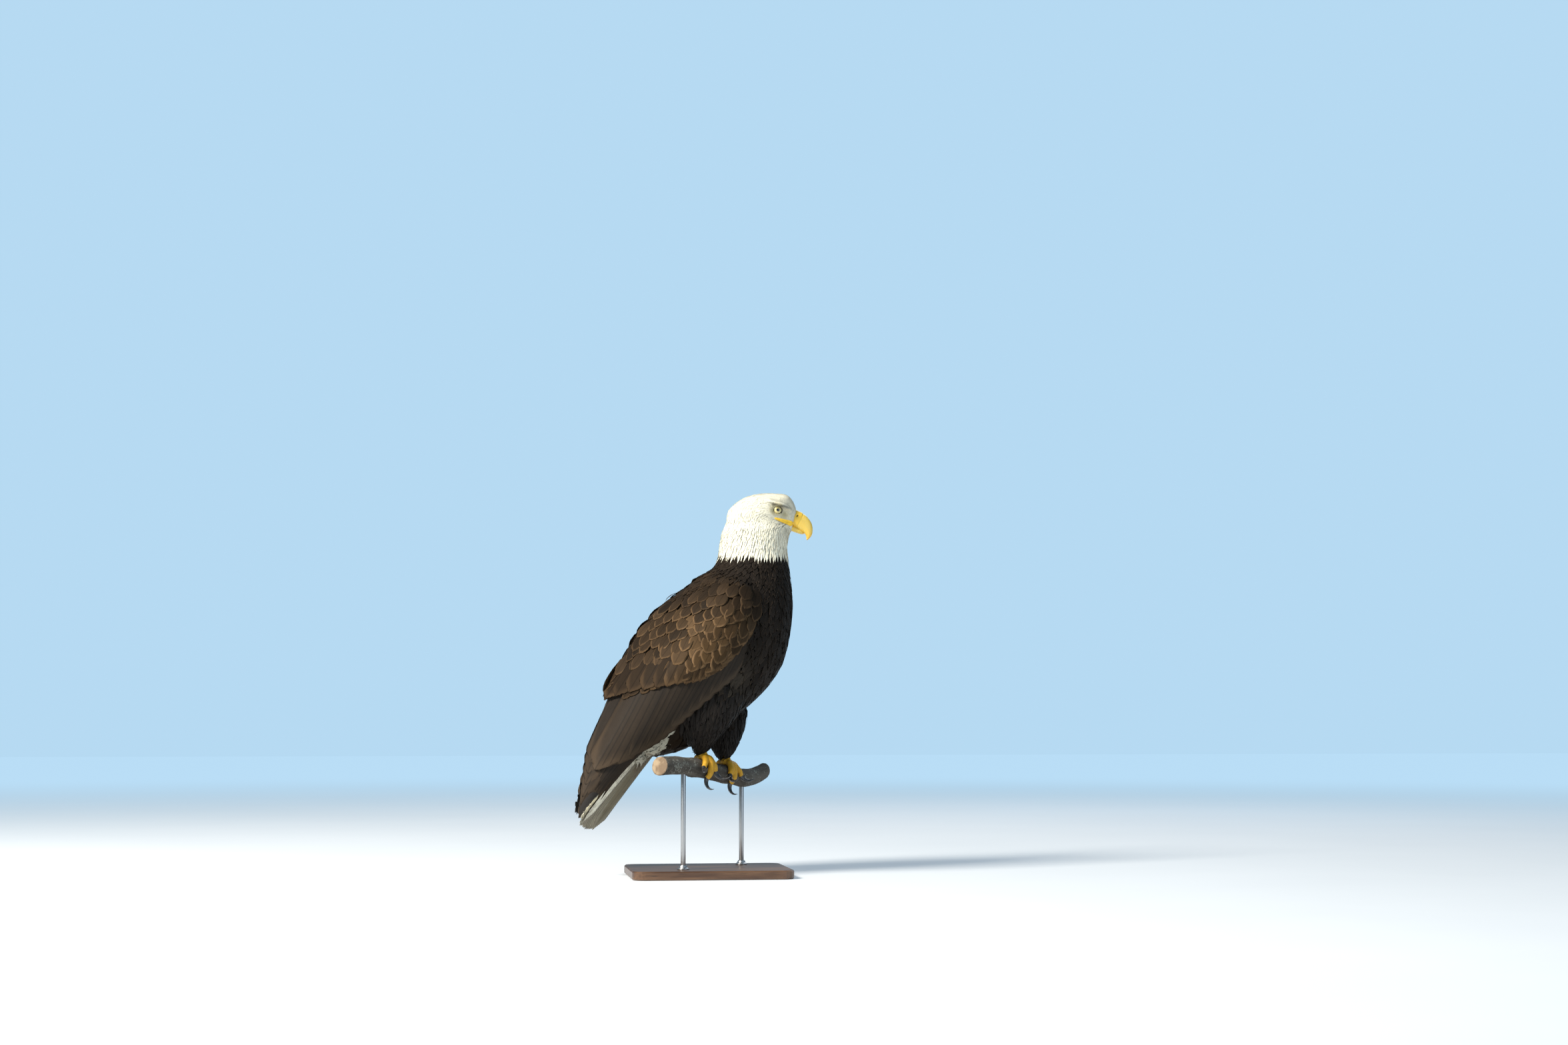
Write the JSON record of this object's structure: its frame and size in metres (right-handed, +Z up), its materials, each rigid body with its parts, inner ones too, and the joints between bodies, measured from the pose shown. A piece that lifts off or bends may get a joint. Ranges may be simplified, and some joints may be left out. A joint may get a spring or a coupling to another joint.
{
  "type": "bald eagle",
  "caption": "Life-size still bald eagle, perched upright with folded wings on a short cut branch held by a plain rod-and-base display stand.",
  "frame": {"origin": "centre of the underside of the stand's base", "axes": "+Z up; the bird faces +X and its left side is +Y"},
  "size_m": [0.4973, 0.2967, 0.7936],
  "materials": {
    "white_feather": "soft matte white feathers",
    "tail_feather": "off-white feathers with grey-brown smudges",
    "brown_feather": "dark brown feathers with pale buff edges",
    "dark_feather": "blackish brown feathers",
    "eye": "pale yellow iris and black pupil under a clear gloss",
    "bill": "satin yellow horn",
    "foot_skin": "yellow scaled skin",
    "claw": "black horn, satin",
    "bark": "grey rough bark with pale lichen",
    "base_wood": "dark satin wood",
    "rod_steel": "brushed steel"
  },
  "bodies": {
    "root": {"head": "white_feather", "neck": "white_feather", "trunk": "brown_feather", "eye_right": "eye", "eye_left": "eye", "bill_upper": "bill", "bill_lower": "bill", "wing_right": "brown_feather", "primaries_right": "dark_feather", "wing_left": "brown_feather", "primaries_left": "dark_feather", "tail": "tail_feather", "thigh_right": "dark_feather", "tarsus_right": "foot_skin", "toe_hallux_right": "foot_skin", "toe_inner_right": "foot_skin", "toe_middle_right": "foot_skin", "toe_outer_right": "foot_skin", "claw_hallux_right": "claw", "claw_inner_right": "claw", "claw_middle_right": "claw", "claw_outer_right": "claw", "thigh_left": "dark_feather", "tarsus_left": "foot_skin", "toe_hallux_left": "foot_skin", "toe_inner_left": "foot_skin", "toe_middle_left": "foot_skin", "toe_outer_left": "foot_skin", "claw_hallux_left": "claw", "claw_inner_left": "claw", "claw_middle_left": "claw", "claw_outer_left": "claw", "perch": "bark", "stand_base": "base_wood", "stand_rod_1": "rod_steel", "stand_collar_1": "rod_steel", "stand_rod_2": "rod_steel", "stand_collar_2": "rod_steel"}
  },
  "joints": []
}
